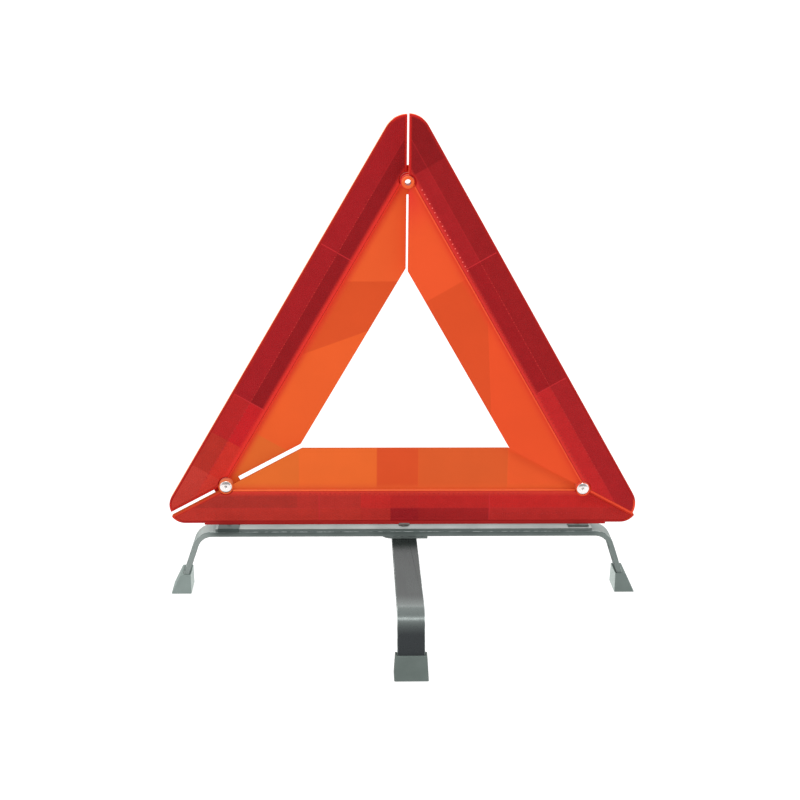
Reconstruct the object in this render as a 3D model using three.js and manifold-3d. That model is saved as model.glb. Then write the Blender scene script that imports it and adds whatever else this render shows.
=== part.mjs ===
// Folding warning triangle on a stand of two crossed steel strips.
// Millimetres. X runs along the base arm to the right, Y points to the back, Z points up.
// The origin is on the ground, straight below the centre rivet.
import * as THREE from 'three';
import { mergeVertices } from 'three/addons/utils/BufferGeometryUtils.js';
import Module from 'manifold-3d';

const wasm = await Module();
wasm.setup();

// ---------- driving dimensions ----------
const GAP = 0.3;             // between pieces that lie against each other
const CURVE_STEPS = 10;      // straight pieces in each arc of an outline
const BEND_STEPS = 8;        // straight pieces in each bend of a strip
const ROUND_SIDES = 24;      // sides of each round piece
const GRID = 0.001;          // corners lie on this grid, so that flush faces are exactly flush

// triangle
const SIDE = 498.8;          // each side, measured between the corner points before rounding
const BASE_Z = 72.2;         // height of the base arm's outer line
// radii of the outer corners at the ends of each arm
const CORNER_RADII = {
  base: { left: 16.5, right: 17, apex: 22 },
  left: { left: 16.5, right: 17, apex: 24 },
  right: { left: 16.5, right: 22.3, apex: 22 },
};
const BASE_WIDTH = 78.3;     // outer line to inner edge
const SIDE_WIDTH = 85.5;
const BASE_RED = 33.8;       // width of the reflector band
const SIDE_RED = 39;
const ARM_THICK = 7.4;
const ARM_PITCH = 7.8;       // the three arms lie in three planes, this far apart
const WEB_THICK = 2.4;
const RIM = 1.8;             // wall round the reflector band
const STEP_RIB = 1.2;        // wall between the reflector band and the bare web
const LEFT_GAP = 2.6;        // between base arm and left arm
const RIGHT_GAP = 1.6;       // between base arm and right arm
const APEX_GAP = 1.4;        // between the two side arms
const FLANGE_LEFT = 201.5;   // ends of the ledge under the base arm, from the middle
const FLANGE_RIGHT = 204.8;
const FLANGE_DROP = 1.8;

// corner pivots and apex snap
const PIVOT_X = 179.5;
const APEX_PIN_Z = 418;
const BOSS_RADIUS = 7.2;
const RELIEF_RADIUS = 8;     // room round a boss in the reflector band
const TAB_LENGTH = 28;       // tab of the rear arm that crosses the mitre gap
const TAB_WIDTH = 16;
const RIVET_HEAD_RADIUS = 6;
const RIVET_SHAFT_RADIUS = 2;
const RIVET_BORE_RADIUS = 1.1;
const RIVET_HEAD_THICK = 1.6;
const STUD_FLANGE_RADIUS = 6.2;
const STUD_RADIUS = 4.8;
const STUD_BORE_RADIUS = 3;
const SOCKET_WALL = 2;

// stand
const STRIP_WIDTH = 25;
const STRIP_THICK = 5.4;
const LONG_TOP_Z = 65.8;
const BEND_RADIUS = 20;      // outer radius of the bend into a leg
const LEG_LEAN = THREE.MathUtils.degToRad(18.5);
const LEG_END_Z = 5;
const RAIL_HALF = 190;
const RAIL_HEIGHT = 2.7;
const RAIL_SHEET = 1.2;
const PLATE_LENGTH = 47;
const PLATE_WIDTH = 24;
const PLATE_THICK = 2.3;
const WASHER_THICK = 1.6;
const WASHER_RADIUS = 8;
const CENTRE_SHAFT_RADIUS = 3;
const CENTRE_HEAD_RADIUS = 6;
const CENTRE_HEAD_HEIGHT = 2.2;
const CENTRE_TAIL_THICK = 1.6;
const CLIP_X = 177;
const CLIP_LENGTH = 21;
const CLIP_REAR = 8;
const CLIP_SHEET = 1.5;
const SCREW_RADIUS = 2;
const SCREW_HEAD_RADIUS = 4;
const SCREW_HEAD_THICK = 2;
const SCREW_BITE = 3.2;      // length of screw inside the base arm

// feet
const FOOT_HEIGHT = 20;
const LONG_REACH = 236;      // centre to the outer edge of a sole
const CROSS_REACH = 214.6;
const SOLE_LENGTH = 20.6;
const SOLE_WIDTH = 31.2;
const FOOT_TOP_LENGTH = 10.6;
const FOOT_TOP_WIDTH = 29;
const FOOT_TOP_SETBACK = 9.6;  // sole's outer edge to the top's outer edge
const LEG_SETBACK = 12.6;      // sole's outer edge to the leg's outer face at the foot's top

// ---------- heights and points that follow ----------
const BASE_BOTTOM_Z = BASE_Z - FLANGE_DROP;
const RAIL_BOTTOM_Z = LONG_TOP_Z + GAP;
const RAIL_TOP_Z = RAIL_BOTTOM_Z + RAIL_HEIGHT;
const PLATE_TOP_Z = LONG_TOP_Z - STRIP_THICK - GAP;
const CROSS_TOP_Z = PLATE_TOP_Z - PLATE_THICK - GAP;
const WASHER_TOP_Z = CROSS_TOP_Z - STRIP_THICK - GAP;
const TAIL_TOP_Z = WASHER_TOP_Z - WASHER_THICK - GAP;
const LENS_BACK = WEB_THICK / 2 + GAP;

const HALF_SIDE = SIDE / 2;
const ROOT3 = Math.sqrt(3);
const APEX_Z = BASE_Z + HALF_SIDE * ROOT3;
const INNER_X = HALF_SIDE - (BASE_WIDTH + 2 * SIDE_WIDTH) / ROOT3;
const leftPoint = new THREE.Vector2(-HALF_SIDE, BASE_Z);
const rightPoint = new THREE.Vector2(HALF_SIDE, BASE_Z);
const apexPoint = new THREE.Vector2(0, APEX_Z);
const leftInner = new THREE.Vector2(-INNER_X, BASE_Z + BASE_WIDTH);
const rightInner = new THREE.Vector2(INNER_X, BASE_Z + BASE_WIDTH);
const apexInner = new THREE.Vector2(0, APEX_Z - 2 * SIDE_WIDTH);
const MITRE_ANGLE = Math.atan2(BASE_WIDTH, HALF_SIDE - INNER_X);
const PIVOT_Z = BASE_Z + (HALF_SIDE - PIVOT_X) * Math.tan(MITRE_ANGLE);

// ---------- materials ----------
function finish(color, roughness, metalness) {
  return new THREE.MeshStandardMaterial({ color, roughness, metalness });
}
const fluorescentOrange = () => finish(0xe8602a, 0.35, 0);
const reflectorRed = () => finish(0xb01f24, 0.2, 0);
const zincSteel = () => finish(0x7d8583, 0.45, 0.8);
const nickel = () => finish(0xc9cbc8, 0.25, 1);
const footRubber = () => finish(0x75807b, 0.8, 0);
const darkSteel = () => finish(0x4a5250, 0.5, 0.6);
const nylon = () => finish(0xd8d8d0, 0.6, 0);

// ---------- solids ----------
function solid(geometry) {
  geometry.deleteAttribute('normal');
  geometry.deleteAttribute('uv');
  const corners = geometry.attributes.position.array;
  corners.forEach((value, index) => {
    corners[index] = Math.round(value / GRID) * GRID;
  });
  const merged = mergeVertices(geometry);
  const mesh = new wasm.Mesh({
    numProp: 3,
    vertProperties: new Float32Array(merged.attributes.position.array),
    triVerts: new Uint32Array(merged.index.array),
  });
  return new wasm.Manifold(mesh);
}

function geometryOf(body) {
  const mesh = body.getMesh();
  const geometry = new THREE.BufferGeometry();
  geometry.setAttribute('position', new THREE.BufferAttribute(mesh.vertProperties, 3));
  geometry.setIndex(new THREE.BufferAttribute(mesh.triVerts, 1));
  geometry.computeVertexNormals();
  return geometry;
}

function outline(points) {
  return new THREE.Shape(points);
}

// A shape drawn in X and Z, made solid from one Y to another.
function plate(shape, y0, y1, steps = CURVE_STEPS) {
  const geometry = new THREE.ExtrudeGeometry(shape, {
    depth: y1 - y0,
    bevelEnabled: false,
    curveSegments: steps,
  });
  geometry.rotateX(Math.PI / 2);
  geometry.translate(0, y1, 0);
  return solid(geometry);
}

function discAlongY(x, z, radius, y0, y1) {
  const geometry = new THREE.CylinderGeometry(radius, radius, y1 - y0, ROUND_SIDES);
  geometry.translate(x, (y0 + y1) / 2, z);
  return solid(geometry);
}

function discAlongZ(x, y, radius, z0, z1) {
  const geometry = new THREE.CylinderGeometry(radius, radius, z1 - z0, ROUND_SIDES);
  geometry.rotateX(Math.PI / 2);
  geometry.translate(x, y, (z0 + z1) / 2);
  return solid(geometry);
}

function block(x0, x1, y0, y1, z0, z1) {
  const geometry = new THREE.BoxGeometry(x1 - x0, y1 - y0, z1 - z0);
  geometry.translate((x0 + x1) / 2, (y0 + y1) / 2, (z0 + z1) / 2);
  return solid(geometry);
}

// A turned piece whose profile holds (radius, height) points and closes on itself.
function turned(profile) {
  const points = [...profile, profile[0]].map(([radius, height]) => new THREE.Vector2(radius, height));
  return solid(new THREE.LatheGeometry(points, ROUND_SIDES));
}

function named(name, body, material) {
  const mesh = new THREE.Mesh(geometryOf(body), material);
  mesh.name = name;
  return mesh;
}

// ---------- triangle outlines ----------
// Whole triangle with round corners, drawn a given distance inside its outer line.
function roundTriangle(inset, { left, right, apex }) {
  const leftX = left * ROOT3 - HALF_SIDE;
  const rightX = HALF_SIDE - right * ROOT3;
  const shape = new THREE.Shape();
  shape.absarc(leftX, BASE_Z + left, left - inset, (5 * Math.PI) / 6, (3 * Math.PI) / 2, false);
  shape.absarc(rightX, BASE_Z + right, right - inset, -Math.PI / 2, Math.PI / 6, false);
  shape.absarc(0, APEX_Z - 2 * apex, apex - inset, Math.PI / 6, (5 * Math.PI) / 6, false);
  return shape;
}

// The line from a to b, moved to its left.
function sideLine(a, b, distance) {
  const direction = b.clone().sub(a).normalize();
  const normal = new THREE.Vector2(-direction.y, direction.x);
  return { point: a.clone().addScaledVector(normal, distance), direction };
}

function meet(a, b) {
  const between = b.point.clone().sub(a.point);
  const along = between.cross(b.direction) / a.direction.cross(b.direction);
  return a.point.clone().addScaledVector(a.direction, along);
}

// The part of an arm between two distances from its outer line, inset from its two mitre faces.
function zone(arm, from, to, inset) {
  const outer = sideLine(arm.outerStart, arm.outerEnd, from);
  const inner = sideLine(arm.outerStart, arm.outerEnd, to);
  const startCut = sideLine(arm.innerStart, arm.outerStart, arm.gaps[0] / 2 + inset);
  const endCut = sideLine(arm.outerEnd, arm.innerEnd, arm.gaps[1] / 2 + inset);
  return outline([meet(outer, startCut), meet(outer, endCut), meet(inner, endCut), meet(inner, startCut)]);
}

// ---------- arms ----------
const pivots = {
  left: { x: -PIVOT_X, z: PIVOT_Z, angle: MITRE_ANGLE },
  right: { x: PIVOT_X, z: PIVOT_Z, angle: -MITRE_ANGLE },
  apex: { x: 0, z: APEX_PIN_Z, angle: Math.PI / 2 },
};

const arms = {
  base: {
    outerStart: leftPoint,
    outerEnd: rightPoint,
    innerStart: leftInner,
    innerEnd: rightInner,
    width: BASE_WIDTH,
    red: BASE_RED,
    y: 0,
    gaps: [LEFT_GAP, RIGHT_GAP],
    corners: CORNER_RADII.base,
    ends: [{ at: pivots.left, tab: false }, { at: pivots.right, tab: true }],
  },
  left: {
    outerStart: apexPoint,
    outerEnd: leftPoint,
    innerStart: apexInner,
    innerEnd: leftInner,
    width: SIDE_WIDTH,
    red: SIDE_RED,
    y: ARM_PITCH,
    gaps: [APEX_GAP, LEFT_GAP],
    corners: CORNER_RADII.left,
    ends: [{ at: pivots.left, tab: true }, { at: pivots.apex, tab: true, hole: STUD_RADIUS + 2 * GAP }],
  },
  right: {
    outerStart: rightPoint,
    outerEnd: apexPoint,
    innerStart: rightInner,
    innerEnd: apexInner,
    width: SIDE_WIDTH,
    red: SIDE_RED,
    y: -ARM_PITCH,
    gaps: [RIGHT_GAP, APEX_GAP],
    corners: CORNER_RADII.right,
    ends: [{ at: pivots.right, tab: false }, { at: pivots.apex, tab: false, hole: STUD_RADIUS + GAP }],
  },
};

const SHAFT_HOLE_RADIUS = RIVET_SHAFT_RADIUS + GAP;
const HALF_ARM = ARM_THICK / 2;
const HALF_WEB = WEB_THICK / 2;
const PAST = 5;              // how far a cutting solid runs past what it cuts

// Cuts a tab's rectangle across the mitre gap, turned along the mitre.
function tabBody(at) {
  const along = new THREE.Vector2(Math.cos(at.angle), Math.sin(at.angle)).multiplyScalar(TAB_LENGTH / 2);
  const across = new THREE.Vector2(-Math.sin(at.angle), Math.cos(at.angle)).multiplyScalar(TAB_WIDTH / 2);
  const corners = [[-1, -1], [1, -1], [1, 1], [-1, 1]].map(([a, c]) => (
    new THREE.Vector2(at.x, at.z).addScaledVector(along, a).addScaledVector(across, c)
  ));
  return plate(outline(corners), -HALF_WEB, HALF_WEB);
}

// What lies in front of and behind an arm's web, inside an outline.
function bothFaces(shape) {
  const front = plate(shape, -HALF_ARM - PAST, -HALF_WEB);
  return front.add(plate(shape, HALF_WEB, HALF_ARM + PAST));
}

// Room round each pivot in the front and rear faces of an arm.
function relief({ at }, radius, depth) {
  const front = discAlongY(at.x, at.z, radius, -HALF_ARM - PAST, -depth);
  return front.add(discAlongY(at.x, at.z, radius, depth, HALF_ARM + PAST));
}

function armFrame(arm) {
  const limit = plate(roundTriangle(0, arm.corners), -HALF_ARM, HALF_ARM);
  let body = plate(zone(arm, -PAST, arm.width, 0), -HALF_ARM - PAST, HALF_ARM + PAST);
  body = body.intersect(limit);
  const bare = zone(arm, arm.red + STEP_RIB, arm.width + PAST, -2 * PAST);
  body = body.subtract(bothFaces(bare));
  const pocket = bothFaces(zone(arm, 0, arm.red, RIM));
  const pocketOutline = roundTriangle(RIM, arm.corners);
  const pocketLimit = plate(pocketOutline, -HALF_ARM - 2 * PAST, HALF_ARM + 2 * PAST);
  body = body.subtract(pocket.intersect(pocketLimit));
  for (const end of arm.ends) {
    body = body.subtract(relief(end, RELIEF_RADIUS, HALF_WEB));
    if (end.tab) body = body.add(tabBody(end.at));
    if (end.at === pivots.apex) {
      body = body.add(apexBoss(end));
      body = body.subtract(discAlongY(end.at.x, end.at.z, end.hole, -HALF_ARM - PAST, HALF_ARM + PAST));
    } else {
      body = body.add(discAlongY(end.at.x, end.at.z, BOSS_RADIUS, -HALF_ARM, HALF_ARM));
      body = body.subtract(relief(end, RIVET_HEAD_RADIUS + GAP, HALF_WEB));
      body = body.subtract(discAlongY(end.at.x, end.at.z, SHAFT_HOLE_RADIUS, -PAST, PAST));
    }
  }
  return body;
}

// The left arm has a full-depth socket ring; the right arm has a flat lug that carries the stud.
function apexBoss(end) {
  const depth = end.tab ? HALF_ARM : HALF_WEB;
  return discAlongY(end.at.x, end.at.z, end.hole + SOCKET_WALL, -depth, depth);
}

function baseFrame() {
  const ledge = block(-FLANGE_LEFT, FLANGE_RIGHT, -HALF_ARM, HALF_ARM, BASE_BOTTOM_Z, BASE_Z + RIM / 2);
  const headRoom = discAlongZ(0, 0, CENTRE_HEAD_RADIUS + 2 * GAP, BASE_BOTTOM_Z - PAST,
    RAIL_TOP_Z + CENTRE_HEAD_HEIGHT + 2 * GAP);
  let body = armFrame(arms.base).add(ledge).subtract(headRoom);
  for (const x of [-CLIP_X, CLIP_X]) {
    const pilot = discAlongZ(x, 0, SCREW_RADIUS + GAP, BASE_BOTTOM_Z - PAST, BASE_BOTTOM_Z + SCREW_BITE + GAP);
    body = body.subtract(pilot);
  }
  return body;
}

function reflector(arm, y0, y1) {
  const strip = plate(zone(arm, 0, arm.red - GAP, RIM + GAP), y0, y1);
  let body = strip.intersect(plate(roundTriangle(RIM + GAP, arm.corners), y0 - PAST, y1 + PAST));
  for (const { at } of arm.ends) {
    body = body.subtract(discAlongY(at.x, at.z, RELIEF_RADIUS + GAP, y0 - PAST, y1 + PAST));
  }
  return body;
}

function armGroup(name, arm, frameBody) {
  const group = new THREE.Group();
  group.position.y = arm.y;
  group.add(named(`${name}_arm_frame`, frameBody, fluorescentOrange()));
  group.add(named(`${name}_front_reflector`, reflector(arm, -HALF_ARM, -LENS_BACK), reflectorRed()));
  group.add(named(`${name}_rear_reflector`, reflector(arm, LENS_BACK, HALF_ARM), reflectorRed()));
  return group;
}

// ---------- pivots and apex stud ----------
// A tubular rivet through the lugs of two arms whose planes are one pitch apart.
function pivotRivet() {
  const headInner = HALF_WEB + GAP;
  const front = -headInner;
  const rear = ARM_PITCH + headInner;
  return turned([
    [RIVET_BORE_RADIUS, front - RIVET_HEAD_THICK],
    [RIVET_HEAD_RADIUS, front - RIVET_HEAD_THICK],
    [RIVET_HEAD_RADIUS, front],
    [RIVET_SHAFT_RADIUS, front],
    [RIVET_SHAFT_RADIUS, rear],
    [RIVET_HEAD_RADIUS, rear],
    [RIVET_HEAD_RADIUS, rear + RIVET_HEAD_THICK],
    [RIVET_BORE_RADIUS, rear + RIVET_HEAD_THICK],
  ]);
}

function pivotWasher() {
  const front = HALF_WEB + GAP;
  const rear = ARM_PITCH - HALF_WEB - GAP;
  const hole = RIVET_SHAFT_RADIUS + GAP;
  return turned([[hole, front], [RIVET_HEAD_RADIUS, front], [RIVET_HEAD_RADIUS, rear], [hole, rear]]);
}

function apexStud() {
  const flangeFront = -ARM_PITCH - HALF_ARM;
  const flangeRear = -ARM_PITCH - LENS_BACK;
  const tip = ARM_PITCH - HALF_ARM - GAP;
  const lead = 1;
  return turned([
    [STUD_BORE_RADIUS, flangeFront],
    [STUD_FLANGE_RADIUS - lead, flangeFront],
    [STUD_FLANGE_RADIUS, flangeFront + lead],
    [STUD_FLANGE_RADIUS, flangeRear],
    [STUD_RADIUS, flangeRear],
    [STUD_RADIUS, tip - lead],
    [STUD_RADIUS - lead, tip],
    [STUD_BORE_RADIUS, tip],
  ]);
}

function cornerPivot(side, at, y) {
  const group = new THREE.Group();
  group.position.set(at.x, y, at.z);
  group.add(named(`${side}_pivot_rivet`, pivotRivet(), nickel()));
  group.add(named(`${side}_pivot_washer`, pivotWasher(), nylon()));
  return group;
}

// ---------- stand ----------
// Distance from the centre at which a strip starts to bend down.
function flatHalf(topZ, reach) {
  const bendOut = BEND_RADIUS * Math.cos(LEG_LEAN);
  const bendDown = BEND_RADIUS * (1 - Math.sin(LEG_LEAN));
  const legDrop = topZ - bendDown - FOOT_HEIGHT;
  return reach - LEG_SETBACK - bendOut - legDrop * Math.tan(LEG_LEAN);
}

// Side view of a strip: flat in the middle, bent down and outwards at both ends.
function stripOutline(topZ, reach) {
  const flat = flatHalf(topZ, reach);
  const innerRadius = BEND_RADIUS - STRIP_THICK;
  const centreZ = topZ - BEND_RADIUS;
  const legLength = (centreZ + BEND_RADIUS * Math.sin(LEG_LEAN) - LEG_END_Z) / Math.cos(LEG_LEAN);
  const legTip = (radius) => new THREE.Vector2(
    flat + radius * Math.cos(LEG_LEAN) + legLength * Math.sin(LEG_LEAN),
    centreZ + radius * Math.sin(LEG_LEAN) - legLength * Math.cos(LEG_LEAN),
  );
  const outerTip = legTip(BEND_RADIUS);
  const innerTip = legTip(innerRadius);
  const shape = new THREE.Shape();
  shape.moveTo(0, topZ);
  shape.absarc(flat, centreZ, BEND_RADIUS, Math.PI / 2, LEG_LEAN, true);
  shape.lineTo(outerTip.x, outerTip.y);
  shape.lineTo(innerTip.x, innerTip.y);
  shape.absarc(flat, centreZ, innerRadius, LEG_LEAN, Math.PI / 2, false);
  shape.absarc(-flat, centreZ, innerRadius, Math.PI / 2, Math.PI - LEG_LEAN, false);
  shape.lineTo(-innerTip.x, innerTip.y);
  shape.lineTo(-outerTip.x, outerTip.y);
  shape.absarc(-flat, centreZ, BEND_RADIUS, Math.PI - LEG_LEAN, Math.PI / 2, true);
  return shape;
}

function strip(topZ, reach, holes) {
  let body = plate(stripOutline(topZ, reach), -STRIP_WIDTH / 2, STRIP_WIDTH / 2, BEND_STEPS);
  for (const { x, radius } of holes) {
    body = body.subtract(discAlongZ(x, 0, radius, topZ - STRIP_THICK - PAST, topZ + PAST));
  }
  return body;
}

const centreHole = { x: 0, radius: CENTRE_SHAFT_RADIUS + GAP };
const screwHoles = [-CLIP_X, CLIP_X].map((x) => ({ x, radius: SCREW_RADIUS + GAP }));

// Shallow channel, open underneath, that stiffens the long strip.
function rail() {
  const half = STRIP_WIDTH / 2;
  const channel = block(-RAIL_HALF, RAIL_HALF, -half, half, RAIL_BOTTOM_Z, RAIL_TOP_Z);
  const inside = block(-RAIL_HALF - PAST, RAIL_HALF + PAST, -half + RAIL_SHEET, half - RAIL_SHEET,
    RAIL_BOTTOM_Z - PAST, RAIL_TOP_Z - RAIL_SHEET);
  let body = channel.subtract(inside);
  for (const { x, radius } of [centreHole, ...screwHoles]) {
    body = body.subtract(discAlongZ(x, 0, radius, RAIL_BOTTOM_Z - PAST, RAIL_TOP_Z + PAST));
  }
  return body;
}

// Angle clip between rail and base arm: a flat pad with one edge turned down over the rail.
function railClip() {
  const topZ = BASE_BOTTOM_Z - GAP;
  const frontFace = STRIP_WIDTH / 2 + GAP + CLIP_SHEET;
  const half = CLIP_LENGTH / 2;
  const pad = block(-half, half, -frontFace, CLIP_REAR, RAIL_TOP_Z + GAP, topZ);
  const lip = block(-half, half, -frontFace, -frontFace + CLIP_SHEET, RAIL_BOTTOM_Z, topZ);
  return pad.add(lip).subtract(discAlongZ(0, 0, SCREW_RADIUS + GAP, RAIL_BOTTOM_Z, topZ + PAST));
}

// Plate between the two strips, round on the left and square on the right, that carries the detent.
function detentPlate() {
  const half = PLATE_WIDTH / 2;
  const shape = new THREE.Shape();
  shape.absarc(half - PLATE_LENGTH / 2, 0, half, Math.PI / 2, (3 * Math.PI) / 2, false);
  shape.lineTo(PLATE_LENGTH / 2, -half);
  shape.lineTo(PLATE_LENGTH / 2, half);
  const geometry = new THREE.ExtrudeGeometry(shape, {
    depth: PLATE_THICK,
    bevelEnabled: false,
    curveSegments: CURVE_STEPS,
  });
  geometry.translate(0, 0, PLATE_TOP_Z - PLATE_THICK);
  const hole = discAlongZ(0, 0, centreHole.radius, PLATE_TOP_Z - PLATE_THICK - PAST, PLATE_TOP_Z + PAST);
  return solid(geometry).subtract(hole);
}

function ringAlongZ(inner, outer, z0, z1) {
  return discAlongZ(0, 0, outer, z0, z1).subtract(discAlongZ(0, 0, inner, z0 - PAST, z1 + PAST));
}

// Domed head on the rail, shaft through both strips, flat tail below.
function centreRivet() {
  const headZ = RAIL_TOP_Z + GAP;
  const shaft = discAlongZ(0, 0, CENTRE_SHAFT_RADIUS, TAIL_TOP_Z - GAP, headZ + GAP);
  const head = new THREE.SphereGeometry(CENTRE_HEAD_RADIUS, ROUND_SIDES, CURVE_STEPS, 0, 2 * Math.PI);
  head.scale(1, CENTRE_HEAD_HEIGHT / CENTRE_HEAD_RADIUS, 1);
  head.rotateX(Math.PI / 2);
  head.translate(0, 0, headZ);
  const upper = block(-PAST - CENTRE_HEAD_RADIUS, PAST + CENTRE_HEAD_RADIUS,
    -PAST - CENTRE_HEAD_RADIUS, PAST + CENTRE_HEAD_RADIUS, headZ, headZ + PAST);
  const tail = discAlongZ(0, 0, CENTRE_HEAD_RADIUS, TAIL_TOP_Z - CENTRE_TAIL_THICK, TAIL_TOP_Z);
  return solid(head).intersect(upper).add(shaft).add(tail);
}

function standScrew() {
  const headTop = LONG_TOP_Z - STRIP_THICK - GAP;
  const head = discAlongZ(0, 0, SCREW_HEAD_RADIUS, headTop - SCREW_HEAD_THICK, headTop);
  const shank = discAlongZ(0, 0, SCREW_RADIUS, headTop - GAP, BASE_BOTTOM_Z + SCREW_BITE);
  return head.add(shank);
}

// ---------- feet ----------
// Rubber foot for the +X end of a strip, with a socket round the leg.
function foot(topZ, reach) {
  const outerTop = reach - FOOT_TOP_SETBACK;
  const side = plate(outline([
    new THREE.Vector2(reach - SOLE_LENGTH, 0),
    new THREE.Vector2(reach, 0),
    new THREE.Vector2(outerTop, FOOT_HEIGHT),
    new THREE.Vector2(outerTop - FOOT_TOP_LENGTH, FOOT_HEIGHT),
  ]), -SOLE_WIDTH, SOLE_WIDTH);
  const frontShape = outline([
    new THREE.Vector2(-SOLE_WIDTH / 2, 0),
    new THREE.Vector2(SOLE_WIDTH / 2, 0),
    new THREE.Vector2(FOOT_TOP_WIDTH / 2, FOOT_HEIGHT),
    new THREE.Vector2(-FOOT_TOP_WIDTH / 2, FOOT_HEIGHT),
  ]);
  const front = plate(frontShape, -reach - PAST, reach + PAST).rotate([0, 0, 90]);
  const legFace = (z) => reach - LEG_SETBACK + (FOOT_HEIGHT - z) * Math.tan(LEG_LEAN);
  const legDepth = STRIP_THICK / Math.cos(LEG_LEAN);
  const lowZ = LEG_END_Z - 2 * GAP - STRIP_THICK * Math.sin(LEG_LEAN);
  const highZ = FOOT_HEIGHT + PAST;
  const socketHalf = STRIP_WIDTH / 2 + GAP;
  const socket = plate(outline([
    new THREE.Vector2(legFace(lowZ) - legDepth - GAP, lowZ),
    new THREE.Vector2(legFace(lowZ) + GAP, lowZ),
    new THREE.Vector2(legFace(highZ) + GAP, highZ),
    new THREE.Vector2(legFace(highZ) - legDepth - GAP, highZ),
  ]), -socketHalf, socketHalf);
  return side.intersect(front).subtract(socket);
}

// One steel strip along X with a foot on each end.
function legPair(stripName, footNames, topZ, reach, holes) {
  const group = new THREE.Group();
  group.add(named(stripName, strip(topZ, reach, holes), zincSteel()));
  footNames.forEach((name, index) => {
    const mesh = named(name, foot(topZ, reach), footRubber());
    mesh.rotation.z = index * Math.PI;
    group.add(mesh);
  });
  return group;
}

// ---------- assembly ----------
const triangle = new THREE.Group();
triangle.add(armGroup('base', arms.base, baseFrame()));
triangle.add(armGroup('left', arms.left, armFrame(arms.left)));
triangle.add(armGroup('right', arms.right, armFrame(arms.right)));
triangle.add(cornerPivot('left', pivots.left, 0));
triangle.add(cornerPivot('right', pivots.right, -ARM_PITCH));
const stud = named('apex_snap_stud', apexStud(), fluorescentOrange());
stud.position.set(pivots.apex.x, 0, pivots.apex.z);
triangle.add(stud);

const stand = new THREE.Group();
stand.add(named('stand_rail', rail(), zincSteel()));
stand.add(named('detent_plate', detentPlate(), zincSteel()));
stand.add(named('centre_rivet', centreRivet(), darkSteel()));
const washer = ringAlongZ(centreHole.radius, WASHER_RADIUS, WASHER_TOP_Z - WASHER_THICK, WASHER_TOP_Z);
stand.add(named('friction_washer', washer, nickel()));
for (const [side, x, turn] of [['left', -CLIP_X, 0], ['right', CLIP_X, Math.PI]]) {
  const clip = named(`${side}_rail_clip`, railClip(), darkSteel());
  clip.position.x = x;
  clip.rotation.z = turn;
  const screw = named(`${side}_stand_screw`, standScrew(), nickel());
  screw.position.x = x;
  stand.add(clip, screw);
}
stand.add(legPair('long_leg_strip', ['right_foot', 'left_foot'], LONG_TOP_Z, LONG_REACH,
  [centreHole, ...screwHoles]));

const crossLeg = legPair('cross_leg_strip', ['front_foot', 'rear_foot'], CROSS_TOP_Z, CROSS_REACH, [centreHole]);
crossLeg.rotation.z = -Math.PI / 2;

const warningTriangle = new THREE.Group();
warningTriangle.add(triangle, stand, crossLeg);
export default warningTriangle;
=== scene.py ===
import math

import bmesh
import bpy
import numpy as np
from mathutils import Matrix, Vector
from mathutils.geometry import delaunay_2d_cdt


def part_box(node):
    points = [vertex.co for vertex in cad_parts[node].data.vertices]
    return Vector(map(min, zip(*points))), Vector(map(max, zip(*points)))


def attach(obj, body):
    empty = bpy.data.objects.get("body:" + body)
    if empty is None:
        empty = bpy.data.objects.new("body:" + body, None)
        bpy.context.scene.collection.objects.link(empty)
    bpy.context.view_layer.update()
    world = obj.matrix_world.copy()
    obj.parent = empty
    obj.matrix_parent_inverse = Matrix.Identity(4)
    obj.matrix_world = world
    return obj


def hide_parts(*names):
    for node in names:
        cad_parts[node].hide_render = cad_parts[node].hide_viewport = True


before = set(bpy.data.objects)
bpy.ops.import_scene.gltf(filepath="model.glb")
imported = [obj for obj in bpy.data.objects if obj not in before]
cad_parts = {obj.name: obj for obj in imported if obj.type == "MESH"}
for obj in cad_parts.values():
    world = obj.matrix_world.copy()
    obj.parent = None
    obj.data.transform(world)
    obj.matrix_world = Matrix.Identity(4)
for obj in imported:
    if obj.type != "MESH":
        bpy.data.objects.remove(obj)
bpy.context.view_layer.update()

scene = bpy.context.scene

MM = 0.001                   # meshes are built in millimetres and scaled by this
TINY = 1e-4                  # points closer than this are one point
WELD = 0.02                  # the same, for the corners of a CAD mesh
THIN = 0.01                  # shortest edge kept in a CAD mesh
FLAT = 0.9                   # a face looks along an axis if its normal's share of it is more
BLACK = (0, 0, 0, 1)
WHITE = (1, 1, 1, 1)

# Angles in degrees: flat faces are joined below the first, edges are shaded sharp above the
# second and rounded above the third.
JOIN_ANGLE = 1
SHARP_ANGLE = 32
ROUND_ANGLE = 28

# ---------- triangle ----------
LENS_INSET = 2.1             # outer line of an arm to the edge of its reflector
RIM = 1.8                    # wall outside the reflector
RIB_MIDDLE = 0.6             # reflector band to the middle of the rib beside the web
LENS_CHAMFER = 0.3
OUTLINE_STEP = 1.6           # spacing of the points on a reflector's outline
PRISM_BORDER = 2.2           # plain border round the prism field
PRISM_PITCH = 2.5
PRISM_DEPTH = 0.28
FIELD_SINK = 0.12            # lens face to the highest corners of the prisms
FIELD_SLOPE = 0.8            # width of the slope from the border into the field
SEAM_HALF = 0.4              # half width of the plain line between two fields
BEAD_RADIUS = 0.75
BEAD_FLATNESS = 0.35         # height of a bead as a share of its radius
BEAD_ROOT = 0.45             # lens face to a bead's underside
BEAD_PITCH = 5.0
BEAD_RINGS = 3
BEAD_SIDES = 8

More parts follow.
